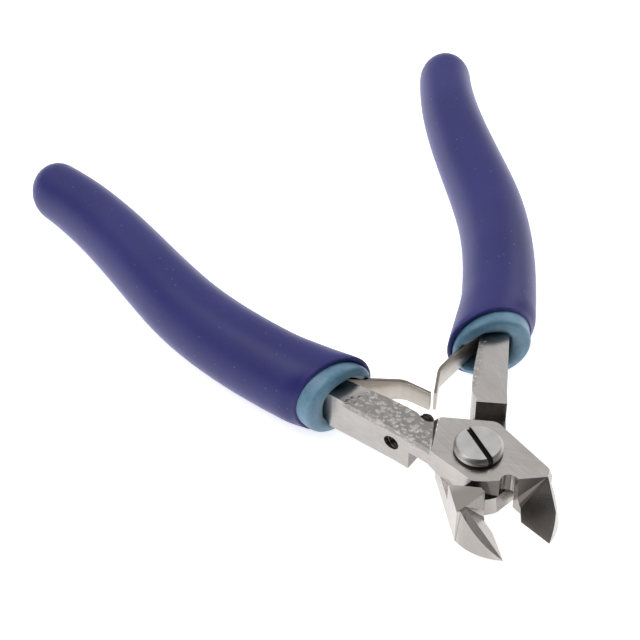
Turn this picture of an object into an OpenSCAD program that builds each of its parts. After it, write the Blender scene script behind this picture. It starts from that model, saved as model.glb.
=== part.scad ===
// Flush cut pliers with a lap joint, two leaf springs and cushioned grips.
// The origin is where the pivot axis meets the underside of the head.
// +Y runs to the handles, the jaws point along -Y and +Z is up.
// Each half is drawn with its jaws closed, on the cutting line x = 0, and then swung open.

/* [Head] */
// Angle that each half is swung open from the closed position, in degrees
half_open = 13.4; // [12:0.1:13.4]
// Thickness of the head
head_t = 9.55; // [9.3:0.05:9.7]
// Height of the plane where the two halves lap
lap_z = 4.9; // [4.7:0.1:5]
// Half width of the head
flank_x = 8; // [7.8:0.1:8.2]
// Distance from the pivot to the jaw tips
tip_y = 21.8; // [21.5:0.1:22]
// Distance from the pivot to the root of the cutting edge
root_y = 13.8; // [13.4:0.05:14]
// Height of the cutting edge at the tip
tip_z = 1.3; // [1:0.1:1.6]

/* [Pivot] */
// Diameter of the screw's shoulder in the upper half
shoulder_d = 6; // [5.5:0.1:6.5]
// Diameter of the screw's head
screw_head_d = 10.1; // [9.9:0.1:10.4]
// Diameter of the screw's thread in the lower half
screw_thread_d = 5; // [4.5:0.1:5.2]

/* [Stop screw] */
// Diameter of the set screw that limits the closing
stop_d = 3.4; // [3:0.1:3.5]
// Length of the set screw
stop_len = 8; // [7:0.5:8.5]

/* [Springs] */
// Thickness of a leaf
leaf_t = 0.7; // [0.5:0.05:0.8]
// Width of a leaf
leaf_w = 5.8; // [5:0.1:6]

/* [Grips] */
// Thickness of the outer skin
skin_t = 1.1; // [0.9:0.1:1.4]
// Half height of a grip at its front
grip_b = 9.4; // [9:0.1:9.6]

/* [Hidden] */
$fn = 64;

steel = "silver";
black = "dimgray";
spring_steel = "tan";
teal = "cadetblue";
purple = "darkslateblue";

block = 80;
lap_gap = 0.05;
edge_gap = 0.03;
edge_land = 0.05;
run_gap = 0.03;
mid_z = lap_z;

// Relief notch at the root of the jaws in each half: its centre and diameter
upper_relief = [-0.6, -10, 3.6];
lower_relief = [0, -9.55, 3.5];
// Front boss of each plate, its side wall and the upper plate's slant, and the wall behind each jaw block
upper_boss_r = 8.2;
lower_boss_r = 9.2;
side_x = 7.9;
side_top_x = 6.45;
rear_wall_r = 9.73;
rear_wall_angle = 18;
// Step behind each plate, where the other half's full thickness starts
step_r = 13;
step_angle = 16.5;
// Nose of each jaw: a leaning cylinder's centre, radius, lean and start, and the facet above it
upper_nose = [-2.83, -10.9];
upper_nose_r = 11.55;
upper_lean = [0, -13.1, 0];
upper_nose_start = -13.4;
upper_facet_at = [8.15, -12.2];
upper_facet_n = [4.67, -4.76, 4.09];
lower_nose = [-3.7, -10.35];
lower_nose_r = 12.3;
lower_lean = [-8.7, 0, 0];
lower_nose_start = -14.6;
lower_facet_at = [6.15, -13.7];
lower_facet_n = [-0.4, -0.68, 1];

// Handle: two cubic curves for the centre of the grip, in the left handle's closed place
front_curve = [[-11.2, 30], [-16.5, 45], [-21.4, 60], [-21.4, 76]];
rear_curve = [[-21.4, 76], [-21.4, 90], [-19.2, 106], [-22.5, 121.9]];
tang_end = 1.8;
grip_sides = 28;

// Springs: height of a leaf's middle, straight lengths of a leaf and the radius of its bend
leaf_z = lap_z - 0.65;
seat_a = [-8.3, 31];
seat_b = [-14, 46.2];
leaf_root = 4.2;
root_len = 11;
leaf_knee = [1.9, 25.35];
leaf_tip = [4.3, 18.9];
knee_r = 4;
rivet_d = 1.8;
rivet_at = [6, 12];

function unit(v) = v / norm(v);
function turn_left(v) = [-v.y, v.x];
function arc(c, r, a0, a1, n) = [for (i = [0:n]) let (a = a0 + (a1 - a0) * i / n) c + r * [cos(a), sin(a)]];
function bezier(p, t) = pow(1 - t, 3) * p[0] + 3 * t * pow(1 - t, 2) * p[1]
    + 3 * t * t * (1 - t) * p[2] + pow(t, 3) * p[3];
function bezier_slope(p, t) = 3 * pow(1 - t, 2) * (p[1] - p[0]) + 6 * t * (1 - t) * (p[2] - p[1])
    + 3 * t * t * (p[3] - p[2]);
// Point and inward normal of the handle's centre line, s from 0 at the grip's mouth to 2 at its end
function handle_at(s) = s <= 1 ? bezier(front_curve, s) : bezier(rear_curve, s - 1);
function handle_slope(s) = s <= 1 ? bezier_slope(front_curve, s) : bezier_slope(rear_curve, s - 1);
function inward(s) = -turn_left(unit(handle_slope(s)));
function tang_half(s) = lookup(s, [[0, 3.05], [1, 2.7], [tang_end, 2.3]]);

// Everything on the side of a plane that its normal points to
module half_space(p, n) {
    translate(p) rotate([0, acos(n.z / norm(n)), atan2(n.y, n.x)])
        translate([-block / 2, -block / 2, 0]) cube(block);
}

// Outline of a half where it has its plate, jaw and shank, jaw at +x and handle at -x
tang_steps = 14;
inner_tang = [for (i = [0:tang_steps]) let (s = 0.4 + (tang_end - 0.4) * i / tang_steps)
    handle_at(s) + tang_half(s) * inward(s)];
outer_tang = [for (i = [0:tang_steps + 3]) let (s = tang_end * (1 - i / (tang_steps + 3)))
    handle_at(s) - tang_half(s) * inward(s)];
upper_front = concat(arc([0, 0], upper_boss_r, 180 + acos(side_x / upper_boss_r), 232, 8),
    [[-3.6, -7.7], [-2.3, -8.75], [-1.6, -9.2]]);
lower_front = arc([0, 0], lower_boss_r, 180 + acos(side_x / lower_boss_r), 274, 10);
function plate_outline(front) = concat(
    [[edge_gap, -root_y], [edge_gap, -tip_y - 1], [flank_x, -tip_y - 1], [flank_x, 2.2]],
    arc([flank_x - 2.6, 2.2], 2.6, 0, 43, 6),
    arc([-1.2, 9.4], 2.05, 43, 80, 5),
    arc([-1.3, 13.6], 1.7, 270, 180, 6),
    arc([-5.2, 15.6], 2.5, -30, 15, 5),
    [[-3.25, 18], [-4.6, 22], seat_a, seat_b], inner_tang, outer_tang,
    [[-9.8, 14.6], [-7.75, 6.4], [-side_x, 4.4]],
    front, [[1.3, -9.8], [1.3, -12.1]]);

module plate_region(front) {
    polygon(plate_outline(front));
}

// The part of a half that has full thickness: jaw in front of the rear wall, shank behind the step
module full_region(front) {
    intersection() {
        plate_region(front);
        union() {
            rotate(rear_wall_angle) translate([-block / 2, -block - rear_wall_r]) square(block);
            rotate(step_angle) translate([-block / 2 - 8, step_r]) square([block, 2 * block]);
        }
    }
}

// Planes of the jaw, through the cutting edge and the corners of the pocket behind it
edge_root = [edge_gap, -root_y, edge_land];
edge_tip = [edge_gap, -tip_y, tip_z + edge_land];
pocket_top = [6.15, -13.7, head_t];
pocket_side = [1.36, -10.7, head_t];
pocket_waist = [1.36, -10.95, 4.1];
pocket_step = [1.36, -11.55, 2.6];
pocket_foot = [1.36, -12.15, 1.75];
bevel_n = cross(pocket_top - edge_root, edge_tip - edge_root);
wall_n = cross(pocket_waist - pocket_side, pocket_top - pocket_side);
step_n = cross(pocket_step - pocket_waist, pocket_top - pocket_waist);
strip_n = cross(pocket_foot - pocket_step, pocket_top - pocket_step);

module jaw_pocket() {
    intersection() {
        half_space(edge_root, bevel_n.x < 0 ? bevel_n : -bevel_n);
        half_space(pocket_side, wall_n.y < 0 ? wall_n : -wall_n);
        half_space(pocket_waist, step_n.y < 0 ? step_n : -step_n);
        half_space(pocket_step, strip_n.y < 0 ? strip_n : -strip_n);
    }
}

// What the jaw loses below its flush face and round its nose
module jaw_outside(nose, nose_r, lean, start_y, facet_at, facet_n) {
    half_space([0, -root_y, 0], [0, -tip_z, -(tip_y - root_y)]);
    half_space([facet_at.x, facet_at.y, head_t], facet_n);
    difference() {
        translate([-1, -tip_y - 20, -5]) cube([30, tip_y + 20 + start_y, head_t + 10]);
        translate([nose.x, nose.y, 0]) rotate(lean)
            translate([0, 0, -10]) cylinder(r = nose_r, h = 40, $fn = 128);
    }
}

// A half with its plate between two heights and its full part from bottom to top, less its jaw's outside
module half_body(plate_from, plate_to, front, relief) {
    difference() {
        union() {
            translate([0, 0, plate_from]) linear_extrude(plate_to - plate_from) plate_region(front);
            linear_extrude(head_t) full_region(front);
        }
        jaw_pocket();
        intersection() {
            children();
            translate([-2, -tip_y - 20, -20]) cube([60, tip_y + 20 - 11.8, 60]);
        }
        translate([relief[0], relief[1], lap_z - lap_gap / 2]) cylinder(d = relief[2], h = head_t);
    }
}

// The slanting side wall of the upper plate: it leans in towards the boss and fades out at the shank
slant_end_y = 6.4;
slant_full_y = -4;
module side_slant() {
    lean = side_x - side_top_x;
    intersection() {
        half_space([-side_x, slant_end_y, head_t],
            [-1, -lean / (slant_end_y - slant_full_y), lean / (head_t - lap_z)]);
        translate([-side_x - 5, -8, lap_z]) cube([10, slant_end_y + 8, head_t]);
    }
}

module swing_left() {
    rotate(half_open) children();
}

module swing_right() {
    rotate(-half_open) mirror([1, 0, 0]) children();
}

// Rivet holes and rivets stand across the spring's seat on the tang
seat_dir = unit(seat_b - seat_a);
seat_out = -turn_left(seat_dir);
module at_rivets() {
    for (d = rivet_at) {
        p = seat_a + (leaf_root + d - 3) * seat_dir;
        translate([p.x, p.y, leaf_z]) rotate([0, 90, atan2(seat_out.y, seat_out.x)]) children();
    }
}

rivet_depth = 2;
rivet_head_h = 0.5;
rivet_head_d = 3;

// The upper half's rough shank top slopes down to its inner side behind a slanting step
shank_top_at = [-7.75, 6.4, head_t];
shank_top_n = [0.77, 0.22, 6.2];
shank_step_at = [-0.9, 11.3, head_t];
shank_step_n = [-0.64, 0.75, 0.9];
// Set screw across the upper half's shank: its height along the handle and its inner end
stop_y = 15.2;
stop_end_x = 0.9;

module upper_half() {
    color(steel) swing_left() difference() {
        half_body(lap_z + lap_gap / 2, head_t, upper_front, upper_relief)
            jaw_outside(upper_nose, upper_nose_r, upper_lean, upper_nose_start,
                upper_facet_at, upper_facet_n);
        side_slant();
        translate([0, 0, -1]) cylinder(d = shoulder_d + 2 * run_gap, h = head_t + 2);
        translate([-20, stop_y, mid_z]) rotate([0, 90, 0]) cylinder(d = stop_d + 2 * run_gap, h = 25);
        intersection() {
            half_space(shank_top_at, shank_top_n);
            half_space(shank_step_at, shank_step_n);
            translate([-30, 5, 0]) cube([30, 40, 20]);
        }
        at_rivets() translate([0, 0, -rivet_depth]) cylinder(d = rivet_d, h = 5);
    }
}

module lower_half() {
    color(steel) swing_right() difference() {
        half_body(0, lap_z - lap_gap / 2, lower_front, lower_relief)
            jaw_outside(lower_nose, lower_nose_r, lower_lean, lower_nose_start,
                lower_facet_at, lower_facet_n);
        translate([0, 0, -1]) cylinder(d = screw_thread_d, h = head_t + 2);
        at_rivets() translate([0, 0, -rivet_depth]) cylinder(d = rivet_d, h = 5);
    }
}

washer_t = 0.55;
washer_gap = 0.04;
screw_head_z = head_t + washer_gap + washer_t;
screw_rim_z = head_t + 1.4;
screw_top_z = head_t + 2.15;
screw_flat_d = 8.9;
slot_w = 1.15;
slot_depth = 1.3;
slot_angle = 91.4;

module pivot_washer() {
    color(black) translate([0, 0, head_t + washer_gap]) difference() {
        cylinder(d = screw_head_d - 0.5, h = washer_t);
        translate([0, 0, -1]) cylinder(d = shoulder_d, h = washer_t + 2);
    }
}

module pivot_screw() {
    color(steel) difference() {
        union() {
            cylinder(d = screw_thread_d, h = lap_z);
            translate([0, 0, lap_z]) cylinder(d = shoulder_d, h = screw_head_z - lap_z);
            translate([0, 0, screw_head_z]) cylinder(d = screw_head_d, h = screw_rim_z - screw_head_z);
            translate([0, 0, screw_rim_z])
                cylinder(d1 = screw_head_d, d2 = screw_flat_d, h = screw_top_z - screw_rim_z);
        }
        rotate(slot_angle) translate([-10, -slot_w / 2, screw_top_z - slot_depth])
            cube([20, slot_w, 5]);
    }
}

stop_cone = 0.7;
hex_across = 1.5;
module stop_screw() {
    color(black) swing_left() translate([stop_end_x, stop_y, mid_z]) rotate([0, -90, 0]) difference() {
        union() {
            translate([0, 0, stop_cone]) cylinder(d = stop_d, h = stop_len - stop_cone);
            cylinder(d1 = stop_d - 1.2, d2 = stop_d, h = stop_cone);
        }
        translate([0, 0, stop_len - 2]) cylinder(d = hex_across / cos(30), h = 3, $fn = 6);
    }
}

// A strip of the leaf's width along a line of points
function side_points(line, d) = [for (i = [0:len(line) - 1])
    let (a = line[max(0, i - 1)], b = line[min(len(line) - 1, i + 1)])
    line[i] + d * turn_left(unit(b - a))];
module strip(line) {
    near = side_points(line, leaf_t / 2);
    far = side_points(line, -leaf_t / 2);
    translate([0, 0, leaf_z - leaf_w / 2]) linear_extrude(leaf_w)
        polygon(concat(near, [for (i = [len(far) - 1:-1:0]) far[i]]));
}

leaf_start = seat_a + leaf_root * seat_dir + (leaf_t / 2 + run_gap) * seat_out;
knee_in = unit(leaf_start - leaf_knee);
knee_out = unit(leaf_tip - leaf_knee);
knee_half = acos(knee_in * knee_out) / 2;
knee_run = knee_r / tan(knee_half);
knee_centre = leaf_knee + unit(knee_in + knee_out) * knee_r / sin(knee_half);
function knee_point(u) = let (a = leaf_knee + knee_run * knee_in - knee_centre,
    b = leaf_knee + knee_run * knee_out - knee_centre)
    knee_centre + knee_r * unit(unit(a) * (1 - u) + unit(b) * u);
root_join = 0.6;
function leaf_line(cut) = concat([leaf_start + root_join * unit(leaf_knee - leaf_start)],
    [for (i = [0:8]) knee_point(i / 8)], [leaf_tip - cut * unit(leaf_tip - leaf_knee)]);
function root_line() = [for (i = [0:1]) leaf_start + i * root_len * seat_dir];

module spring_root() {
    color(spring_steel) difference() {
        strip(root_line());
        at_rivets() translate([0, 0, -1]) cylinder(d = rivet_d, h = 5);
    }
}

module spring_rivets() {
    color(steel) at_rivets() {
        translate([0, 0, -rivet_depth]) cylinder(d = rivet_d, h = rivet_depth + leaf_t + run_gap);
        translate([0, 0, leaf_t + run_gap]) cylinder(d = rivet_head_d, h = rivet_head_h);
    }
}

left_leaf_cut = 0.7;
right_leaf_cut = 0.1;
module left_spring_root() {
    swing_left() spring_root();
}

module left_spring_leaf() {
    color(spring_steel) swing_left() strip(leaf_line(left_leaf_cut));
}

module left_spring_rivets() {
    swing_left() spring_rivets();
}

module right_spring_root() {
    swing_right() spring_root();
}

module right_spring_leaf() {
    color(spring_steel) swing_right() strip(leaf_line(right_leaf_cut));
}

module right_spring_rivets() {
    swing_right() spring_rivets();
}

// Grip sections: the front ones stand square to the tool's axis, the others to the handle
function grip_half_width(s) = lookup(s, [[0, 9.5], [0.06, 9.7], [0.14, 9.3], [0.3, 8.2], [0.5, 8.1],
    [1, 7.8], [1.5, 7.1], [1.8, 6.6], [2, 6.2]]);
function grip_half_height(s) = lookup(s, [[0, grip_b - 0.3], [0.06, grip_b], [0.5, grip_b], [1, 9.2],
    [1.5, 8.6], [1.8, 8], [2, 7.4]]);
square_until = 0.32;
front_shift = 1.1;
function front_share(s) = s > square_until ? 0 : 1 - s / square_until;
function across(s) = let (k = front_share(s), n = inward(s)) unit([n.x, n.y * (1 - k * (2 - k))]);
function grip_centre(s) = handle_at(s) + [front_shift * front_share(s), 0];
// Ring of a section shrunk by t, its centre moved by d along the handle
function grip_ring(s, t, d) = let (c = grip_centre(s) + d * unit(handle_slope(s)), u = across(s),
    a = grip_half_width(s) - t, b = grip_half_height(s) - t)
    [for (k = [0:grip_sides - 1]) let (q = 360 * k / grip_sides)
        [c.x + a * cos(q) * u.x, c.y + a * cos(q) * u.y, mid_z + b * sin(q)]];
function end_ring(t, q) = let (c = handle_at(2) + (grip_half_width(2) - t) * sin(q) * unit(handle_slope(2)),
    u = inward(2), a = (grip_half_width(2) - t) * cos(q), b = (grip_half_height(2) - t) * cos(q))
    [for (k = [0:grip_sides - 1]) let (g = 360 * k / grip_sides)
        [c.x + a * cos(g) * u.x, c.y + a * cos(g) * u.y, mid_z + b * sin(g)]];
function end_pole(t) = let (c = handle_at(2) + (grip_half_width(2) - t) * unit(handle_slope(2)))
    [c.x, c.y, mid_z];
skin_start = 0.055;
skin_stops = concat([skin_start, 0.1, 0.16, 0.23, 0.32, 0.42], [for (i = [0:10]) 0.55 + i * 0.145]);
end_angles = [20, 40, 60, 78];
function body_rings(t) = concat([for (s = skin_stops) grip_ring(s, t, 0)],
    [for (q = end_angles) end_ring(t, q)]);

// Faces between rings of points, the first ring's points first
function band_faces(first, count, n, flip) = [for (r = [0:count - 2], k = [0:n - 1])
    let (a = first + r * n + k, b = first + r * n + (k + 1) % n)
    flip ? [a, a + n, b + n, b] : [a, b, b + n, a + n]];
function fan_faces(first, pole, n, flip) = [for (k = [0:n - 1])
    let (a = first + k, b = first + (k + 1) % n) flip ? [b, a, pole] : [a, b, pole]];
function flat(list) = [for (part = list) each part];

module grip_solid(rings, pole) {
    n = grip_sides;
    last = (len(rings) - 1) * n;
    polyhedron(concat(flat(rings), [pole]),
        concat([[for (k = [n - 1:-1:0]) k]], band_faces(0, len(rings), n, false),
            fan_faces(last, len(rings) * n, n, false)), convexity = 6);
}

module grip_shell(outer, outer_pole, inner, inner_pole) {
    n = grip_sides;
    m = len(outer);
    inner_at = m * n + 1;
    polyhedron(concat(flat(outer), [outer_pole], flat(inner), [inner_pole]),
        concat(band_faces(0, m, n, false), fan_faces((m - 1) * n, m * n, n, false),
            band_faces(inner_at, m, n, true), fan_faces(inner_at + (m - 1) * n, inner_at + m * n, n, true),
            [for (k = [0:n - 1]) [(k + 1) % n, k, inner_at + k, inner_at + (k + 1) % n]]),
        convexity = 8);
}

// Cavity in the core for the tang, the spring's root and the moving leaf
cavity_half_z = head_t / 2 + 0.15;
mouth_inner_x = -3.4;
cavity_gap = 0.08;
cavity_inner = [for (i = [0:tang_steps]) let (s = 0.4 + (tang_end + 0.03 - 0.4) * i / tang_steps)
    handle_at(s) + (tang_half(s) + cavity_gap) * inward(s)];
cavity_outer = [for (i = [0:tang_steps + 3]) let (s = 0.08 + (tang_end - 0.05) * (1 - i / (tang_steps + 3)))
    handle_at(s) - (tang_half(s) + cavity_gap) * inward(s)];
spring_side = seat_out * (leaf_t + rivet_head_h + 0.3);
module cavity() {
    translate([0, 0, mid_z - cavity_half_z - 0.05]) linear_extrude(2 * cavity_half_z + 0.1)
        polygon(concat([[-15, 27], [mouth_inner_x, 27], [mouth_inner_x, 32.2],
            seat_a + (leaf_root + 2.6) * seat_dir + spring_side + [0.6, 0.4],
            seat_a + (leaf_root + root_len + 0.3) * seat_dir + spring_side,
            seat_b + cavity_gap * seat_out], cavity_inner, cavity_outer,
            [[-14.9, 30.4]]));
}

module grip_core() {
    lip = [grip_ring(0.01, 1.7, 0), grip_ring(0.02, 0.9, 0)];
    color(teal) difference() {
        grip_solid(concat(lip, body_rings(skin_t)), end_pole(skin_t));
        cavity();
    }
}

module grip_skin() {
    color(purple) grip_shell(body_rings(0), end_pole(0), body_rings(skin_t), end_pole(skin_t));
}

module left_grip_core() {
    swing_left() grip_core();
}

module left_grip_skin() {
    swing_left() grip_skin();
}

module right_grip_core() {
    swing_right() grip_core();
}

module right_grip_skin() {
    swing_right() grip_skin();
}

lower_half();
upper_half();
pivot_screw();
pivot_washer();
stop_screw();
left_spring_root();
left_spring_leaf();
left_spring_rivets();
right_spring_root();
right_spring_leaf();
right_spring_rivets();
left_grip_core();
left_grip_skin();
right_grip_core();
right_grip_skin();
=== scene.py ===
import bpy, bmesh, math
import numpy as np
from mathutils import Matrix, Vector


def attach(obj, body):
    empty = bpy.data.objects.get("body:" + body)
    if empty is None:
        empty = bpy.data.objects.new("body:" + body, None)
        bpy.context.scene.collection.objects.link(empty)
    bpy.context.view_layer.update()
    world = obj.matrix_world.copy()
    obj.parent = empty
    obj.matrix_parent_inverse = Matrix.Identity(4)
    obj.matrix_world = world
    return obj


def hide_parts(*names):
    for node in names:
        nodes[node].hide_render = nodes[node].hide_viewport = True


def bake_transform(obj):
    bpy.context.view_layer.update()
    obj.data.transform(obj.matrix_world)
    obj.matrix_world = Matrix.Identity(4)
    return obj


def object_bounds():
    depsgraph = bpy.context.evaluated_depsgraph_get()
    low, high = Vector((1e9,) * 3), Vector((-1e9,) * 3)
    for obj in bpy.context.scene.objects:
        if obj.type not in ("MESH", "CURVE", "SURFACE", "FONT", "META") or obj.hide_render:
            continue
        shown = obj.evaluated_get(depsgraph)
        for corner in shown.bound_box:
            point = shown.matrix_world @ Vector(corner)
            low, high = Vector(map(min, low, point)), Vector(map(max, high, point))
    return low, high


# Flush cut pliers at rest, open. Shapes are worked out in mm, each half in its own closed frame
# (cutting line x = 0), then place() swings them open and turns them into metres.
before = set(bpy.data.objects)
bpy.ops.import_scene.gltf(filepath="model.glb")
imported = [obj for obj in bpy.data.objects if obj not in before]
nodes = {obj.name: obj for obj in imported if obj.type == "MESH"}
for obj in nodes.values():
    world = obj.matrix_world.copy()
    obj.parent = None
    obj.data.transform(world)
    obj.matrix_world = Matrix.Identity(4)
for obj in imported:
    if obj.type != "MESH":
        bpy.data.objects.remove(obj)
cad_box = [list(v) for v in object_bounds()]

MM = 0.001
OPEN = 13.4                 # each half's swing from closed, degrees
MID_Z = 4.9                 # lap plane, mm
TURN = 2 * math.pi          # a full turn, radians
HALF = {"left": "upper_half", "right": "lower_half"}    # the half that each side's grip sits on


# ---------- small helpers ----------
def unit(v):
    v = np.asarray(v, float)
    return v / np.linalg.norm(v)


def left_of(v):
    return np.array([-v[1], v[0]])


def place(points, side):
    """Points in mm in a half's closed frame, to metres in the row frame at rest."""
    p = np.array(points, float)
    if side == "right":
        p = p * np.array([-1, 1, 1])
    a = math.radians(OPEN if side == "left" else -OPEN)
    c, s = math.cos(a), math.sin(a)
    x, y = p[:, 0] * c - p[:, 1] * s, p[:, 0] * s + p[:, 1] * c
    return np.c_[x, y, p[:, 2]] * MM


def mesh_object(name, verts, faces, flip=False):
    """A smooth shaded mesh in the scene, its faces turned outwards; flip suits a mirrored piece."""
    me = bpy.data.meshes.new(name)
    if flip:
        faces = [tuple(reversed(f)) for f in faces]
    me.from_pydata([tuple(v) for v in verts], [], [tuple(f) for f in faces])
    me.update()
    bm = bmesh.new()
    bm.from_mesh(me)
    bmesh.ops.recalc_face_normals(bm, faces=bm.faces)
    bm.to_mesh(me)
    bm.free()
    for p in me.polygons:
        p.use_smooth = True
    ob = bpy.data.objects.new(name, me)
    bpy.context.scene.collection.objects.link(ob)
    return ob


def rings_mesh(rings, last_pole=None):
    """A closed skin over rings of points; it ends on a pole where one is given, else on a flat cap."""
    n = len(rings[0])
    verts = np.vstack(rings)
    faces = []
    for r in range(len(rings) - 1):
        for k in range(n):
            a, b = r * n + k, r * n + (k + 1) % n
            faces.append((a, b, b + n, a + n))
    o = (len(rings) - 1) * n
    if last_pole is not None:
        pole = len(verts)
        verts = np.vstack([verts, [last_pole]])
        faces += [(o + k, o + (k + 1) % n, pole) for k in range(n)]
    else:
        faces.append(tuple(o + k for k in range(n)))
    faces.append(tuple(reversed(range(n))))
    return verts, faces


def modifier(ob, kind, **values):
    m = ob.modifiers.new(kind.lower(), kind)
    for k, v in values.items():
        setattr(m, k, v)
    return m


# ---------- handle and grip shapes, the same curves as the CAD ----------
FRONT = np.array([[-11.2, 30], [-16.5, 45], [-21.4, 60], [-21.4, 76]], float)
REAR = np.array([[-21.4, 76], [-21.4, 90], [-19.2, 106], [-22.5, 121.9]], float)


def bez(p, t):
    """Point of a cubic curve."""
    return (1 - t) ** 3 * p[0] + 3 * t * (1 - t) ** 2 * p[1] + 3 * t * t * (1 - t) * p[2] + t ** 3 * p[3]


def bez_d(p, t):
    """Direction of a cubic curve, not normalised."""
    return 3 * (1 - t) ** 2 * (p[1] - p[0]) + 6 * t * (1 - t) * (p[2] - p[1]) + 3 * t * t * (p[3] - p[2])


def handle_at(s):
    """Point of the handle's centre line: s runs 0 to 1 along FRONT and 1 to 2 along REAR."""
    return bez(FRONT, s) if s <= 1 else bez(REAR, s - 1)


def slope(s):
    return unit(bez_d(FRONT, s) if s <= 1 else bez_d(REAR, s - 1))


def inward(s):
    """Across the handle, towards the other half."""
    return -left_of(slope(s))


# Grip half width and half height against s, mm.
HALF_W = ([0, .06, .14, .3, .5, 1, 1.5, 1.8, 2], [9.5, 9.7, 9.3, 8.2, 8.1, 7.8, 7.1, 6.6, 6.2])
HALF_H = ([0, .06, .5, 1, 1.5, 1.8, 2], [9.1, 9.4, 9.4, 9.2, 8.6, 8.0, 7.4])
SQUARE = 0.32               # up to this s the grip's sections turn square to the jaws
SHIFT = 1.1                 # how far the front section moves inwards, mm
SKIN_T = 1.1                # thickness of the outer skin, mm
N = 64                      # points round a section
AROUND = np.linspace(0, TURN, N, endpoint=False)


def smooth_lookup(table, s):
    """A table's value at s, averaged over a short stretch so that its corners are rounded."""
    xs, ys = table
    k = 0.05
    return float(np.mean([np.interp(s + d, xs, ys) for d in (-k, -k / 2, 0, k / 2, k)]))


def share(s):
    """How far a section is turned square: 1 at the mouth, 0 from SQUARE on."""
    return 0 if s > SQUARE else 1 - s / SQUARE


def section(s):
    """Centre of a section and the direction across it."""
    k = share(s)
    n = inward(s)
    u = unit([n[0], n[1] * (1 - k * (2 - k))])
    return handle_at(s) + np.array([SHIFT * k, 0]), u


def ring(s, t, d=0.0):
    """Section shrunk by t mm, moved by d mm forwards (towards the jaws)."""
    c, u = section(s)
    f = -left_of(u) if (-left_of(u))[1] < 0 else left_of(u)
    a, b = smooth_lookup(HALF_W, s) - t, smooth_lookup(HALF_H, s) - t
    ca, sa = np.cos(AROUND), np.sin(AROUND)
    return np.c_[c[0] + a * ca * u[0] + d * f[0], c[1] + a * ca * u[1] + d * f[1], MID_Z + b * sa]


RIM_S = 0.055               # where the skin's front rim is
RIM_FADE = 0.12             # the lean fades out over this much s
RIM_LEAN, RIM_LEAN_TOP = 1.0, 0.6


def rim_back(s):
    """How far the skin's rim leans back, mm: more at its top and outer side, fading along the grip."""
    fade = max(0.0, 1 - (s - RIM_S) / RIM_FADE)
    return -fade * (RIM_LEAN - RIM_LEAN * np.cos(AROUND) + RIM_LEAN_TOP * np.sin(AROUND))


def end_ring(t, deg):
    """Section of the rounded rear end, deg degrees from its widest place."""
    g = math.radians(deg)
    w, h = HALF_W[1][-1] - t, HALF_H[1][-1] - t
    c = handle_at(2) + w * math.sin(g) * slope(2)
    u = inward(2)
    across, up = w * math.cos(g) * np.cos(AROUND), h * math.cos(g) * np.sin(AROUND)
    return np.c_[c[0] + across * u[0], c[1] + across * u[1], MID_Z + up]


def end_pole(t):
    c = handle_at(2) + (HALF_W[1][-1] - t) * slope(2)
    return np.array([c[0], c[1], MID_Z])


BODY_S = list(np.linspace(RIM_S, 0.35, 9)) + list(np.linspace(0.42, 2.0, 26))
END_A = [12, 24, 36, 48, 60, 70, 79]                    # the rounded rear end's sections, degrees


def grip_skin(side):
    """The indigo skin, with a rounded front rim that turns in over the sleeve."""
    r = SKIN_T / 2
    rings = [ring(s, SKIN_T + t, rim_back(s)) for s, t in ((RIM_S + 0.12, 0.02), (RIM_S + 0.05, 0.01))]
    for q in range(0, 181, 30):
        g = math.radians(q)
        rings.append(ring(RIM_S, r + r * math.cos(g), r * math.sin(g) + rim_back(RIM_S)))
    rings += [ring(s, 0, rim_back(s)) for s in BODY_S[1:]]
    rings += [end_ring(0, a) for a in END_A]
    v, f = rings_mesh(rings, last_pole=end_pole(0))
    return mesh_object(side + "_grip_outer_skin", place(v, side), f, flip=(side == "right"))


LIP_R, LIP_REACH, LIP_T = 1.15, 1.2, 0.15     # the lip's rounding, how far it stands out, its step
LIP_START = 0.9
CROWN = 0.45                # how far the lip bulges in front of the mouth, mm
MOUTH_INNER_X = -3.1        # clears the leaf where it leaves the mouth, mm
TANG_INNER_X = -8.2         # inner side of the tang in the mouth
LOW_RUN = 3.4               # the mouth comes down over this width
LEAF_ROOM = (3.9, 2.5)      # half height left for the leaf, below and above the lap plane
# Rings of the mouth: y behind the lip's front, centre x, half width, half height, power, low.
MOUTH = ((0.35, -9.0, 6.7, 5.35, 2.7, 1.0), (0.9, -9.1, 6.4, 5.1, 3.0, 1.0), (2, -9.4, 6.1, 5.1, 3.1, 0.9),
         (4, -9.9, 5.9, 5.1, 3.2, 0.0), (9, -11.8, 5.4, 5.1, 3.4, 0.0), (15, -14.2, 4.2, 5.1, 3.6, 0.0))


def mouth_ring(y, cx, a, b, power, low):
    """Ring of the sleeve's mouth, round the tang; low (0 to 1) brings it down onto the leaf spring."""
    ca, sa = np.cos(AROUND), np.sin(AROUND)
    e = 2.0 / power
    x = np.minimum(cx + a * np.sign(ca) * np.abs(ca) ** e, MOUTH_INNER_X)
    z = b * np.sign(sa) * np.abs(sa) ** e
    k = np.clip((x - TANG_INNER_X) / LOW_RUN, 0, 1)
    k = low * k * k * (3 - 2 * k)
    below, above = LEAF_ROOM
    z = np.clip(z, -(b + (below - b) * k), b + (above - b) * k)
    return np.c_[x, np.full(N, y), MID_Z + z]


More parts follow.
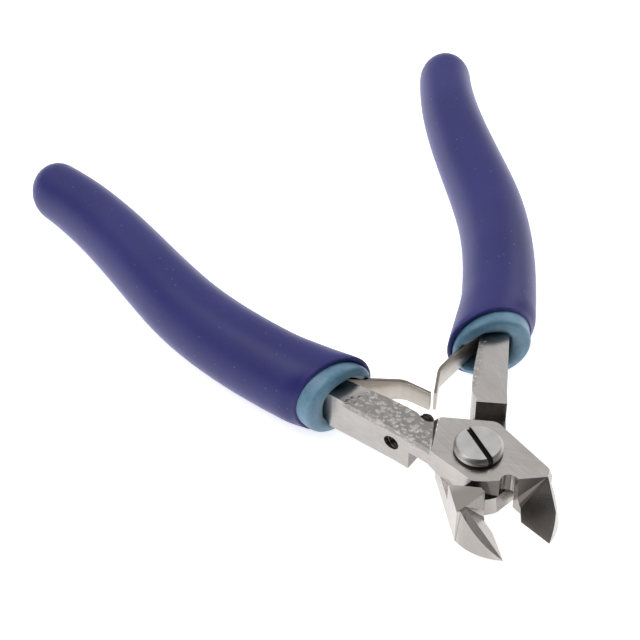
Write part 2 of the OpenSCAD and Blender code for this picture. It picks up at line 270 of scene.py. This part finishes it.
def grip_core(side):
    """The teal sleeve: it starts inside the skin, comes out as a rounded lip and turns in to the mouth."""
    back = [ring(s, SKIN_T + 0.06) for s in (0.6, 0.4, 0.25, 0.15, RIM_S + 0.03)]
    lip = []
    for q in range(0, 91, 15):
        g = math.radians(q)
        shrink = SKIN_T - LIP_T + LIP_R * (1 - math.cos(g))
        lip.append(ring(RIM_S, shrink, LIP_START + LIP_REACH * math.sin(g)))
    front_y = lip[-1][:, 1].mean()
    inner = [mouth_ring(front_y + y, cx, a, b, power, low) for y, cx, a, b, power, low in MOUTH]
    crown = []
    for t in (0.2, 0.4, 0.6, 0.8):
        mid = lip[-1] + (inner[0] - lip[-1]) * t
        mid[:, 1] -= CROWN * math.sin(math.pi * t) * np.clip(-(mid[:, 0] + 4.0) / 2.0, 0, 1)
        crown.append(mid)
    v, f = rings_mesh(back + lip + crown + inner)
    return mesh_object(side + "_grip_inner_sleeve", place(v, side), f, flip=(side == "right"))


# ---------- leaf springs ----------
SEAT_A, SEAT_B = np.array([-8.3, 31.0]), np.array([-14, 46.2])      # the tang's flat that a spring lies on
SEAT = unit(SEAT_B - SEAT_A)
SEAT_OUT = -left_of(SEAT)
LEAF_T, LEAF_W, LEAF_Z = 0.7, 5.8, MID_Z - 0.65         # thickness, width and middle height, mm
LEAF_R = 0.14               # radius of its edges, mm
NARROW_FROM, NARROW = 0.55, 0.11                        # share of the length, share of the width
LEAF_START = SEAT_A + 4.2 * SEAT + (LEAF_T / 2 + 0.03) * SEAT_OUT
KNEE, TIP, KNEE_R = np.array([1.9, 25.35]), np.array([4.3, 18.9]), 4.0
CUT = {"left": 0.7, "right": 0.1}                       # trimmed off each tip, mm
ROOT_LEN = 11


def corner(p, a, b, r, n):
    """Points of an arc of radius r that rounds the corner p between directions a and b."""
    ua, ub = unit(a - p), unit(b - p)
    h = math.acos(float(np.clip(ua @ ub, -1, 1))) / 2
    run = r / math.tan(h)
    c = p + unit(ua + ub) * r / math.sin(h)
    va, vb = unit(p + run * ua - c), unit(p + run * ub - c)
    w = math.acos(float(np.clip(va @ vb, -1, 1)))
    return [c + r * (math.sin((1 - u) * w) * va + math.sin(u * w) * vb) / math.sin(w)
            for u in np.linspace(0, 1, n)]


def leaf_spring(side):
    """One strip from its root in the grip to its tip; it bends where it leaves its seat."""
    tip = TIP - CUT[side] * unit(TIP - KNEE)
    root = LEAF_START + ROOT_LEN * SEAT
    pts = [root + (LEAF_START - root) * t for t in np.linspace(0, 0.8, 6)]
    pts += corner(LEAF_START, root, KNEE, 3.0, 8)
    knee = corner(KNEE, LEAF_START, TIP, KNEE_R, 14)
    a = pts[-1]
    pts += [a + (knee[0] - a) * t for t in np.linspace(0.1, 0.92, 9)]
    pts += knee
    pts += [knee[-1] + (tip - knee[-1]) * t for t in np.linspace(0.2, 1, 5)]
    pts = np.array(pts)
    d = np.gradient(pts, axis=0)
    nrm = np.array([left_of(unit(x)) for x in d])
    r = LEAF_R
    prof = []               # the strip's cross-section, with rounded edges
    for cx, cz, q0 in ((LEAF_T / 2 - r, LEAF_W / 2 - r, 0), (-LEAF_T / 2 + r, LEAF_W / 2 - r, 90),
                       (-LEAF_T / 2 + r, -LEAF_W / 2 + r, 180), (LEAF_T / 2 - r, -LEAF_W / 2 + r, 270)):
        for q in (0, 30, 60, 90):
            g = math.radians(q0 + q)
            prof.append((cx + r * math.cos(g), cz + r * math.sin(g)))
    rings = []
    last = len(pts) - 1
    for i, (p, n) in enumerate(zip(pts, nrm)):
        narrow = 1 - NARROW * max(0, (i - NARROW_FROM * last) / ((1 - NARROW_FROM) * last))
        rings.append(np.array([[p[0] + x * n[0], p[1] + x * n[1], LEAF_Z + z * narrow] for x, z in prof]))
    v, f = rings_mesh(rings)
    ob = mesh_object(side + "_leaf_spring", place(v, side), f, flip=(side == "right"))
    ob.data.set_sharp_from_angle(angle=math.radians(50))
    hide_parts(side + "_spring_root", side + "_spring_leaf")
    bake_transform(ob)
    return ob


# ---------- stop screw ----------
STOP_X, STOP_Y = 0.9, 15.2  # the screw's end and its height along the shank, closed frame
STOP_D, STOP_LEN = 3.4, 8.0
STOP_PITCH, STOP_DEPTH = 0.72, 0.3
STOP_DOME = [(0.15, 0.0), (0.55, 0.04), (0.95, 0.16), (1.2, 0.36), (1.32, 0.6)]     # radius, height
STOP_HEX = 0.75             # inner radius of the hexagon socket


def circle(radius, angles, height):
    return np.c_[radius * np.cos(angles), radius * np.sin(angles), np.full(len(angles), height)]


def stop_screw():
    """Set screw with a domed end, a V thread and a hexagon socket."""
    seg, steps_per_turn = 36, 14
    thread_from, thread_len = 0.75, STOP_LEN - 1.1
    q = np.linspace(0, TURN, seg, endpoint=False)
    rings = [circle(r, q, z) for r, z in STOP_DOME]
    n = int(thread_len / STOP_PITCH * steps_per_turn)
    for j in range(n + 1):
        z = thread_from + thread_len * j / n
        ph = (z / STOP_PITCH - q / TURN) % 1.0
        tri = np.clip(np.abs(ph - 0.5) * 2 * 1.25 - 0.12, 0, 1)     # V with flats at crest and root
        fade = min(1, (z - 0.7) / 0.5)                              # shallower near the dome
        r = STOP_D / 2 - STOP_DEPTH * tri * fade - 0.2 * (1 - fade)
        rings.append(circle(r, q, z))
    rings.append(circle(1.25, q, STOP_LEN))
    hexr = STOP_HEX / np.cos((q + math.pi / 6) % (math.pi / 3) - math.pi / 6)
    for grow, z in ((0.1, STOP_LEN), (0, STOP_LEN - 0.12), (0, STOP_LEN - 2)):
        rings.append(circle(hexr + grow, q, z))
    v, f = rings_mesh(rings)
    v = np.c_[STOP_X - v[:, 2], STOP_Y + v[:, 1], MID_Z + v[:, 0]]
    ob = mesh_object("threaded_stop_screw", place(v, "left"), f)
    ob.data.set_sharp_from_angle(angle=math.radians(38))
    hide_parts("stop_screw")
    return ob


def tapped_thread():
    """The thread seen in the tapped hole, outside the set screw's end: a ring with a ridged inside."""
    seg, steps = 40, 44
    pitch, start, length = 0.6, 8.25, 1.2
    outer, crest, ridge = 1.725, 1.70, 0.24     # radii, and the ridges' height
    q = np.linspace(0, TURN, seg, endpoint=False)
    rings = []
    for j in range(steps + 1):
        x = start + length * j / steps
        ph = (x / pitch - q / TURN) % 1.0
        r = crest - ridge * np.clip(1.3 - 2.6 * np.abs(ph - 0.5), 0, 1)
        rings.append(np.c_[np.full(seg, -x), STOP_Y + r * np.cos(q), MID_Z + r * np.sin(q)])
    for x in (start + length, start):
        rings.append(np.c_[np.full(seg, -x), STOP_Y + outer * np.cos(q), MID_Z + outer * np.sin(q)])
    verts = np.vstack(rings)
    n = len(rings)
    faces = []
    for r in range(n):
        for k in range(seg):
            a, b = r * seg + k, r * seg + (k + 1) % seg
            c, d = (r + 1) % n * seg + (k + 1) % seg, (r + 1) % n * seg + k
            faces.append((a, b, c, d))
    ob = mesh_object("tapped_hole_thread", place(verts, "left"), faces)
    ob.data.set_sharp_from_angle(angle=math.radians(35))
    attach(ob, "upper_half")
    return ob


# ---------- materials ----------
class Nodes:
    """A material and short ways to build its node tree, on the object's own coordinates."""

    def __init__(self, name):
        self.mat = bpy.data.materials.new(name)
        self.mat.use_nodes = True
        self.t = self.mat.node_tree
        self.bsdf = self.t.nodes["Principled BSDF"]
        self.coord = self.t.nodes.new("ShaderNodeTexCoord")

    def new(self, kind, **values):
        n = self.t.nodes.new(kind)
        for k, v in values.items():
            setattr(n, k, v)
        return n

    def link(self, a, b):
        self.t.links.new(a, b)

    def coords(self, turn=0):
        """Object coordinates turned about Z by turn degrees."""
        m = self.new("ShaderNodeMapping")
        m.inputs["Rotation"].default_value = [0, 0, math.radians(turn)]
        self.link(self.coord.outputs["Object"], m.inputs["Vector"])
        return m.outputs["Vector"]

    def stretched(self, turn, scale):
        """Coordinates turned about Z by turn degrees, then stretched."""
        m = self.new("ShaderNodeMapping")
        m.inputs["Scale"].default_value = scale
        self.link(self.coords(turn), m.inputs["Vector"])
        return m.outputs["Vector"]

    def noise(self, vec, scale, detail=3, rough=0.5, dist=0.0):
        n = self.new("ShaderNodeTexNoise")
        n.inputs["Scale"].default_value = scale
        n.inputs["Detail"].default_value = detail
        n.inputs["Roughness"].default_value = rough
        n.inputs["Distortion"].default_value = dist
        self.link(vec, n.inputs["Vector"])
        return n.outputs["Fac"]

    def ramp(self, fac, stops):
        r = self.new("ShaderNodeValToRGB")
        e = r.color_ramp.elements
        while len(e) < len(stops):
            e.new(0.5)
        for el, (p, c) in zip(e, stops):
            el.position = p
            el.color = (*c, 1) if len(c) == 3 else c
        self.link(fac, r.inputs["Fac"])
        return r.outputs["Color"]

    def math(self, op, a, b=None):
        n = self.new("ShaderNodeMath", operation=op)
        for i, x in enumerate((a, b)):
            if x is None:
                continue
            if isinstance(x, (int, float)):
                n.inputs[i].default_value = x
            else:
                self.link(x, n.inputs[i])
        return n.outputs[0]

    def times(self, a, b):
        return self.math("MULTIPLY", a, b)

    def plus(self, a, b):
        return self.math("ADD", a, b)

    def most(self, first, *rest):
        """The greatest of several masks."""
        for other in rest:
            first = self.math("MAXIMUM", first, other)
        return first

    def mix(self, fac, a, b):
        n = self.new("ShaderNodeMix", data_type="RGBA")
        for sock, x in ((n.inputs["Factor"], fac), (n.inputs[6], a), (n.inputs[7], b)):
            if isinstance(x, (int, float)):
                sock.default_value = x
            elif isinstance(x, tuple):
                sock.default_value = (*x, 1)
            else:
                self.link(x, sock)
        return n.outputs[2]

    def range(self, v, a, b, c=0.0, d=1.0, smooth=False):
        """v mapped from a..b to c..d, clamped."""
        n = self.new("ShaderNodeMapRange")
        if smooth:
            n.interpolation_type = "SMOOTHSTEP"
        n.inputs["From Min"].default_value = a
        n.inputs["From Max"].default_value = b
        n.inputs["To Min"].default_value = c
        n.inputs["To Max"].default_value = d
        self.link(v, n.inputs["Value"])
        return n.outputs["Result"]

    def axis(self, vec, i):
        s = self.new("ShaderNodeSeparateXYZ")
        self.link(vec, s.inputs[0])
        return s.outputs[i]

    def bump(self, height, strength, distance, normal=None):
        b = self.new("ShaderNodeBump")
        b.inputs["Strength"].default_value = strength
        b.inputs["Distance"].default_value = distance
        self.link(height, b.inputs["Height"])
        if normal is not None:
            self.link(normal, b.inputs["Normal"])
        return b.outputs["Normal"]

    def set(self, **values):
        for k, v in values.items():
            s = self.bsdf.inputs[k.replace("_", " ")]
            if hasattr(v, "is_output"):
                self.link(v, s)
            else:
                s.default_value = v


# Near black tones: painted shade on the halves' recess faces, and the leaf springs' darker edge faces
DARKENING_TONE = [(0.34, (0.088, 0.078, 0.074)), (0.66, (0.110, 0.098, 0.093))]
SCRATCH = (2300, 70, 2300)  # noise frequency across, along and up from the scratches
CROSS_SCRATCH = (1300, 90, 1300)
CROSS_ANGLE = -38           # the second set of scratches, degrees from the first


def tinted(base, *gains):
    """A colour with each of its channels multiplied, by one gain or by three."""
    return tuple(c * k for c, k in zip(base, gains * (3 if len(gains) == 1 else 1)))


def steel(name, base, rough, scratch=SCRATCH, angle=0.0, forged=None, darkening=None,
          jaw_shade=None, calm=None, vary=0.13):
    """Satin ground steel with fine directional scratches. Four masks change it where they are 1:
    forged makes it rough and dimpled, darkening paints it nearly black (painted shade on the halves'
    recess faces, darker edge faces on the leaf springs), jaw_shade paints it darker and greyer (painted
    shade on the lower jaw), calm frees it of scratches."""
    m = Nodes(name)
    fine = m.noise(m.stretched(angle, scratch), 1.0, 3, 0.6)
    band = m.noise(m.stretched(angle + CROSS_ANGLE, CROSS_SCRATCH), 1.0, 2, 0.6)
    broad = m.noise(m.coords(), 130, 3, 0.55)
    stain = m.noise(m.coords(), 210, 3, 0.6)
    grain = m.noise(m.coords(), 900, 3, 0.55)
    lo, hi = tinted(base, 1 - vary), tinted(base, 1 + vary * 0.6)
    streak = m.plus(m.times(fine, 0.35), m.times(band, 0.25))
    tone = m.plus(streak, m.times(broad, 0.4))
    col = m.ramp(tone, [(0.36, lo), (0.64, hi)])
    col = m.mix(m.range(stain, 0.56, 0.72, 0.0, 0.55), col, tinted(base, 0.98, 0.88, 0.80))
    r = m.range(m.plus(m.times(fine, 0.6), m.times(grain, 0.4)), 0.3, 0.7, rough - 0.03, rough + 0.04)
    relief = m.plus(m.times(fine, 0.8), m.times(grain, 0.2))
    if calm is not None:
        quiet = calm(m)
        still = m.math("SUBTRACT", 1.0, quiet)
        relief = m.times(relief, still)
        r = m.plus(m.times(r, still), m.times(quiet, rough))
    n = m.bump(relief, 0.12, 0.00002)
    if forged is not None:
        mask = forged(m)
        dim = m.noise(m.coords(), 620, 4, 0.62, 0.8)
        warp = m.new("ShaderNodeVectorMath", operation="ADD")
        m.link(m.coords(), warp.inputs[0])
        m.link(m.times(dim, 0.0014), warp.inputs[1])
        cell = m.new("ShaderNodeTexVoronoi", feature="F1")
        cell.inputs["Scale"].default_value = 860
        m.link(warp.outputs[0], cell.inputs["Vector"])
        blob = m.range(cell.outputs["Distance"], 0.55, 0.2, smooth=True)
        relief = m.plus(m.times(dim, 0.35), m.times(blob, 0.3))
        n = m.bump(m.times(relief, mask), 0.75, 0.0005, n)
        wobble = m.plus(cell.outputs["Distance"], m.times(dim, 0.5))
        tones = ((0.42, 0.98), (0.56, 1.10), (0.70, 0.80), (0.88, 0.62))
        col = m.mix(mask, col, m.ramp(wobble, [(at, tinted(base, gain)) for at, gain in tones]))
        r = m.plus(r, m.times(mask, 0.08))
    # A darker, greyer colour painted as shade on the lower half's jaw
    if jaw_shade is not None:
        col = m.mix(jaw_shade(m), col, tinted(tinted(base, 0.58), 1.04, 1.0, 0.95))
    # A near black colour painted as shade on the halves' recess faces; on the leaf springs it darkens the
    # edge faces
    if darkening is not None:
        mask = darkening(m)
        col = m.mix(mask, col, m.ramp(tone, DARKENING_TONE))
        r = m.plus(r, m.times(mask, 0.06))
    m.set(Base_Color=col, Metallic=1.0, Roughness=r, Normal=n, Anisotropic=0.35)
    return m.mat


def facing(m, direction, low, high):
    """1 on faces whose own normal is close to a direction fixed to the part."""
    g = m.new("ShaderNodeNewGeometry")
    t = m.new("ShaderNodeVectorTransform", vector_type="NORMAL", convert_from="WORLD", convert_to="OBJECT")
    m.link(g.outputs["True Normal"], t.inputs[0])
    d = m.new("ShaderNodeVectorMath", operation="DOT_PRODUCT")
    m.link(t.outputs[0], d.inputs[0])
    d.inputs[1].default_value = unit(direction)
    return m.range(d.outputs["Value"], low, high, smooth=True)


# Directions that the masked faces look in, in the rest frame.
UPPER_POCKET_WALL, UPPER_POCKET_STRIP = (-0.32, -0.947, 0.04), (-0.627, -0.686, 0.368)
UPPER_BEVEL, UPPER_BOSS_WALL = (-0.835, -0.109, 0.539), (-0.3, -0.95, 0)
UPPER_SHANK_BAND, UPPER_END_WALL = (-0.596, 0.436, 0.674), (0.498, -0.867, 0)
LOWER_POCKET_WALL, LOWER_POCKET_STRIP = (0.319, -0.947, 0.04), (0.627, -0.686, 0.368)
LOWER_BEVEL, LOWER_FLANK = (0.835, -0.109, 0.539), (-0.86, -0.49, 0.11)
LOWER_STEP_WALL = (-0.498, -0.867, 0)


def painted_shade_upper(m):
    """Painted shade on the upper half: jaw pocket, bevel, boss wall, shank band and end wall."""
    y = m.axis(m.coords(-OPEN), 1)
    jaw = m.range(y, -0.0098, -0.0104, smooth=True)
    wall = m.times(jaw, facing(m, UPPER_POCKET_WALL, 0.95, 0.975))
    strip = m.times(jaw, facing(m, UPPER_POCKET_STRIP, 0.985, 0.993))
    bevel = m.times(facing(m, UPPER_BEVEL, 0.985, 0.995), 0.4)
    boss = m.times(facing(m, UPPER_BOSS_WALL, 0.85, 0.93), 0.85)
    band = facing(m, UPPER_SHANK_BAND, 0.96, 0.985)
    end = m.times(facing(m, UPPER_END_WALL, 0.97, 0.99), m.range(y, 0.0090, 0.0095, 0.0, 0.6))
    return m.most(wall, strip, bevel, boss, band, end)


def painted_shade_lower(m):
    """Painted shade on the lower half: its step wall behind the upper plate, and its pocket's wall and
    strip.
    """
    y = m.axis(m.coords(), 1)
    step = m.times(m.range(y, 0.0075, 0.008, 0.0, 0.8), facing(m, LOWER_STEP_WALL, 0.97, 0.99))
    wall = m.times(facing(m, LOWER_POCKET_WALL, 0.95, 0.975), 0.5)
    strip = m.times(facing(m, LOWER_POCKET_STRIP, 0.985, 0.993), 0.8)
    return m.most(step, m.times(m.most(wall, strip), m.range(y, -0.0080, -0.0085)))


def bevel_face(m):
    """The smooth bevel of the upper half's jaw, where the grinding marks don't show."""
    return m.times(facing(m, UPPER_BEVEL, 0.98, 0.995), 0.95)


def leaf_edge(m):
    """Darker top and bottom edge faces of a leaf spring, picked out by the way they face."""
    up, down = facing(m, (0, 0, 1), 0.75, 0.95), facing(m, (0, 0, -1), 0.75, 0.95)
    return m.times(m.most(up, down), 0.75)


def jaw_painted_shade(m):
    """Painted shade on the lower half's jaw: its top, the curved flank and the bevel."""
    v = m.coords()
    y = m.axis(v, 1)
    high = m.range(m.axis(v, 2), 0.0091, 0.0094, smooth=True)
    top = m.times(high, m.range(y, -0.0060, -0.0085, 0.0, 0.85, smooth=True))
    flank = m.times(facing(m, LOWER_FLANK, 0.92, 0.985), 0.45)
    bevel = m.times(facing(m, LOWER_BEVEL, 0.985, 0.995), 0.45)
    return m.most(top, m.times(m.most(flank, bevel), m.range(y, -0.0090, -0.0130)))


def top_zone(m, turn, normal, edge, soft):
    """1 on a half's top face beyond a slanting line across its shank, in the half's closed frame."""
    v = m.coords(turn)
    along = m.new("ShaderNodeVectorMath", operation="DOT_PRODUCT")
    m.link(v, along.inputs[0])
    along.inputs[1].default_value = normal
    a = m.range(along.outputs["Value"], edge, edge + soft, smooth=True)
    return m.times(a, m.range(m.axis(v, 2), 0.0078, 0.0083, smooth=True))


def forged_upper(m):
    """The upper half's rough shank top, from its slanting step to a little short of the grip."""
    y = m.axis(m.coords(-OPEN), 1)
    return m.times(top_zone(m, -OPEN, (-0.6, 0.78, 0), 0.0090, 0.0005),
                   m.range(y, 0.0275, 0.0255, smooth=True))


def forged_lower(m):
    """Shallow forging marks along the inner side of the lower half's shank top."""
    inner = top_zone(m, OPEN, (-0.93, 0.36, 0), 0.0012, 0.0022)
    behind = m.range(m.axis(m.coords(), 1), 0.0150, 0.0165, smooth=True)
    return m.times(m.times(inner, behind), 0.6)


def flat_steel(name, base, rough, metallic=1.0):
    """Steel without direction, for the small parts."""
    m = Nodes(name)
    f = m.noise(m.coords(), 1800, 3, 0.6)
    g = m.noise(m.coords(), 300, 2, 0.5)
    col = m.ramp(m.plus(m.times(f, 0.5), m.times(g, 0.5)),
                 [(0.35, tinted(base, 0.8)), (0.65, tinted(base, 1.1))])
    m.set(Base_Color=col, Metallic=metallic, Roughness=m.range(f, 0.3, 0.7, rough - 0.05, rough + 0.08),
          Normal=m.bump(f, 0.15, 0.00003))
    return m.mat


SLOT_TURN = -91.4           # turns the slot in the screw's head onto the x axis, degrees


def screw_steel():
    """Turned steel with rings round the pivot axis, and painted shade in its slot."""
    m = Nodes("turned_screw_steel")
    v = m.coords()
    x, y = m.axis(v, 0), m.axis(v, 1)
    rad = m.math("SQRT", m.plus(m.times(x, x), m.times(y, y)))
    comb = m.new("ShaderNodeCombineXYZ")
    m.link(rad, comb.inputs[0])
    rings = m.noise(comb.outputs[0], 9000, 3, 0.7)
    broad = m.noise(m.coords(), 260, 3, 0.5)
    col = m.ramp(m.plus(m.times(rings, 0.4), m.times(broad, 0.6)),
                 [(0.36, (0.41, 0.40, 0.395)), (0.62, (0.56, 0.545, 0.535))])
    # Painted shade in the head's slot: a near black colour where the slot is cut
    w = m.coords(SLOT_TURN)
    slot = m.times(m.range(m.math("ABSOLUTE", m.axis(w, 1)), 0.00062, 0.00056, smooth=True),
                   m.range(m.axis(w, 2), 0.01155, 0.01135, smooth=True))
    col = m.mix(slot, col, (0.035, 0.032, 0.03))
    m.set(Base_Color=col, Metallic=1.0, Roughness=m.range(rings, 0.3, 0.7, 0.30, 0.42),
          Normal=m.bump(rings, 0.2, 0.00002))
    return m.mat


def speck_mask(m, vec, scale, size):
    """Small sparse specks: 1 in the middle of a cell where the cell's own colour is bright enough."""
    v = m.new("ShaderNodeTexVoronoi", feature="F1")
    v.inputs["Scale"].default_value = scale
    m.link(vec, v.inputs["Vector"])
    pick = m.range(m.axis(v.outputs["Color"], 0), 0.80, 0.84)
    return m.times(m.range(v.outputs["Distance"], size, size * 0.5, smooth=True), pick)


def skin_vinyl():
    """Deep blue dipped vinyl: satin, with a fine orange-peel skin and tiny pale specks."""
    m = Nodes("indigo_dipped_vinyl")
    v = m.coords()
    fine = m.noise(v, 2600, 3, 0.6)
    peel = m.noise(v, 700, 2, 0.5)
    broad = m.noise(v, 45, 2, 0.5)
    speck = speck_mask(m, v, 760, 0.2)
    t = m.plus(m.times(fine, 0.35), m.times(broad, 0.65))
    col = m.ramp(t, [(0.36, (0.0150, 0.0145, 0.134)), (0.66, (0.0250, 0.0260, 0.185))])
    col = m.mix(m.times(speck, 0.6), col, (0.10, 0.10, 0.24))
    h = m.plus(m.times(peel, 0.7), m.times(fine, 0.3))
    n = m.bump(m.math("SUBTRACT", h, m.times(speck, 0.5)), 0.35, 0.00009)
    m.set(Base_Color=col, Roughness=m.range(fine, 0.3, 0.7, 0.42, 0.5), Normal=n,
          Sheen_Weight=0.6, Sheen_Roughness=0.28, Specular_IOR_Level=0.37)
    m.bsdf.inputs["Sheen Tint"].default_value = (0.66, 0.68, 1.0, 1)
    return m.mat


def sleeve_vinyl():
    """Paler, slightly soft looking teal vinyl."""
    m = Nodes("teal_sleeve_vinyl")
    v = m.coords()
    a = m.noise(v, 900, 3, 0.6)
    b = m.noise(v, 140, 2, 0.5)
    col = m.ramp(m.plus(m.times(a, 0.5), m.times(b, 0.5)),
                 [(0.35, (0.085, 0.195, 0.295)), (0.65, (0.140, 0.290, 0.415))])
    m.set(Base_Color=col, Roughness=m.range(a, 0.3, 0.7, 0.3, 0.42), Normal=m.bump(a, 0.2, 0.0001),
          Subsurface_Weight=0.06, Subsurface_Scale=0.002)
    return m.mat


STEEL = (0.445, 0.425, 0.407)
mats = {
    # The halves' steels carry painted shade on their recess faces, and the lower one also on its jaw
    "lower": steel("satin_ground_steel_lower", STEEL, 0.24, angle=OPEN,
                   forged=forged_lower, darkening=painted_shade_lower, jaw_shade=jaw_painted_shade),
    "upper": steel("satin_ground_steel_upper", STEEL, 0.24, angle=-OPEN,
                   forged=forged_upper, darkening=painted_shade_upper, calm=bevel_face),
    "screw": screw_steel(),
    "dark": flat_steel("dark_washer_steel", (0.10, 0.095, 0.09), 0.4),
    "black": flat_steel("black_oxide_steel", (0.035, 0.033, 0.032), 0.38, 0.6),
    "spring": steel("rolled_spring_steel", (0.54, 0.50, 0.455), 0.3, scratch=(700, 700, 40), vary=0.09,
                    darkening=leaf_edge),
    "rivet": flat_steel("rivet_steel", (0.5, 0.49, 0.47), 0.35),
    "skin": skin_vinyl(),
    "sleeve": sleeve_vinyl(),
}


def paint(ob, mat):
    ob.data.materials.clear()
    ob.data.materials.append(mat)


def paint_node(name, mat):
    """Give a CAD node one material in all its slots."""
    for s in nodes[name].material_slots:
        s.material = mat


# ---------- pieces ----------
for side in ("left", "right"):
    half = HALF[side]
    skin = grip_skin(side)
    paint(skin, mats["skin"])
    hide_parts(side + "_grip_skin")
    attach(skin, half)
    core = grip_core(side)
    paint(core, mats["sleeve"])
    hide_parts(side + "_grip_core")
    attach(core, half)
    paint(leaf_spring(side), mats["spring"])
    paint_node(side + "_spring_rivets", mats["rivet"])

screw = stop_screw()
paint(screw, mats["black"])
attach(screw, "stop_screw")
paint(tapped_thread(), mats["dark"])

# Node, material and width of the softened edges in metres.
CAD_PIECES = (("lower_half", "lower", 0.00016), ("upper_half", "upper", 0.00016),
              ("pivot_screw", "screw", 0.00014), ("pivot_washer", "dark", 0.00006))
for name, mat, width in CAD_PIECES:
    ob = nodes[name]
    paint_node(name, mats[mat])
    modifier(ob, "WELD", merge_threshold=0.000002)
    modifier(ob, "BEVEL", width=width, segments=2, limit_method="ANGLE", angle_limit=math.radians(24),
             harden_normals=True, use_clamp_overlap=True, miter_outer="MITER_ARC")
    modifier(ob, "WEIGHTED_NORMAL", mode="FACE_AREA", weight=50, keep_sharp=True)

# ---------- stage, light, camera ----------
FLOOR_HALF = 3              # half the floor's side, m
floor_z = cad_box[0][2] - 0.0002
me = bpy.data.meshes.new("floor")
corners = ((-1, -1), (1, -1), (1, 1), (-1, 1))
me.from_pydata([(FLOOR_HALF * x, FLOOR_HALF * y, floor_z) for x, y in corners], [], [(0, 1, 2, 3)])
floor = bpy.data.objects.new("floor", me)
bpy.context.scene.collection.objects.link(floor)
fm = Nodes("pale_floor")
fm.set(Base_Color=(0.9, 0.9, 0.9, 1), Roughness=0.9, Specular_IOR_Level=0.0)
fm.bsdf.inputs["Emission Color"].default_value = (1, 1, 1, 1)
fm.bsdf.inputs["Emission Strength"].default_value = 0.74
paint(floor, fm.mat)

# The world is dark in front of the object and bright behind and above it.
BRIGHT_SIDE = (0.1, 0.74, 0.66)
WORLD_STOPS = ((0.5, (0.012, 0.011, 0.011, 1)), (1.0, (0.56, 0.55, 0.545, 1)),
               (0.78, (0.4, 0.39, 0.385, 1)))
world = bpy.data.worlds.new("soft_studio")
bpy.context.scene.world = world
world.use_nodes = True
wt = world.node_tree
bg = wt.nodes["Background"]
tc = wt.nodes.new("ShaderNodeTexCoord")
dot = wt.nodes.new("ShaderNodeVectorMath")
dot.operation = "DOT_PRODUCT"
dot.inputs[1].default_value = Vector(BRIGHT_SIDE).normalized()
wt.links.new(tc.outputs["Generated"], dot.inputs[0])
rm = wt.nodes.new("ShaderNodeValToRGB")
rm.color_ramp.interpolation = "EASE"
elements = rm.color_ramp.elements
for el, (p, c) in zip([elements[0], elements[1], elements.new(0.5)], WORLD_STOPS):
    el.position = p
    el.color = c
mr = wt.nodes.new("ShaderNodeMapRange")
mr.inputs["From Min"].default_value = -1
mr.inputs["From Max"].default_value = 1
wt.links.new(dot.outputs["Value"], mr.inputs["Value"])
wt.links.new(mr.outputs["Result"], rm.inputs["Fac"])
wt.links.new(rm.outputs["Color"], bg.inputs["Color"])
bg.inputs["Strength"].default_value = 1.0

# Soft lights: name, place, target, size and power.
LIGHTS = (("key_soft", (-0.45, 0.1, 0.8), (0, 0.03, 0), (0.7, 0.5), 3.1),
          ("right_soft", (0.65, 0.15, 0.4), (0, 0.03, 0), (0.5, 0.5), 1.5),
          ("front_soft", (0.58, -0.45, 0.52), (0, 0.0, 0), (0.5, 0.5), 0.3),
          ("side_soft", (-0.75, 0.05, 0.35), (0, 0.03, 0), (0.4, 0.4), 0.62))
for name, loc, target, size, power in LIGHTS:
    li = bpy.data.lights.new(name, "AREA")
    li.shape = "RECTANGLE"
    li.size, li.size_y = size
    li.energy = power
    ob = bpy.data.objects.new(name, li)
    ob.location = loc
    ob.rotation_euler = (Vector(target) - Vector(loc)).to_track_quat("-Z", "Y").to_euler()
    bpy.context.scene.collection.objects.link(ob)

# The photo's camera, fitted to the object's outline.
CAM_PLACE, CAM_LENS = (-0.13274, -0.21841, 0.29924 + MID_Z * MM), 108.82
CAM_TURN, CAM_DOWN, CAM_ROLL = math.radians(24.17), math.radians(45.43), math.radians(-0.10)
look = Vector((math.sin(CAM_TURN) * math.cos(CAM_DOWN), math.cos(CAM_TURN) * math.cos(CAM_DOWN),
               -math.sin(CAM_DOWN)))
roll = Matrix.Rotation(CAM_ROLL, 3, "Z").to_quaternion()
cam_data = bpy.data.cameras.new("camera")
cam_data.sensor_width = 36
cam_data.lens = CAM_LENS
cam = bpy.data.objects.new("camera", cam_data)
cam.location = Vector(CAM_PLACE)
cam.rotation_mode = "QUATERNION"
cam.rotation_quaternion = look.to_track_quat("-Z", "Y") @ roll
bpy.context.scene.collection.objects.link(cam)
bpy.context.scene.camera = cam
vs = bpy.context.scene.view_settings
vs.view_transform = "Standard"
vs.look = "None"
vs.exposure = 0.0
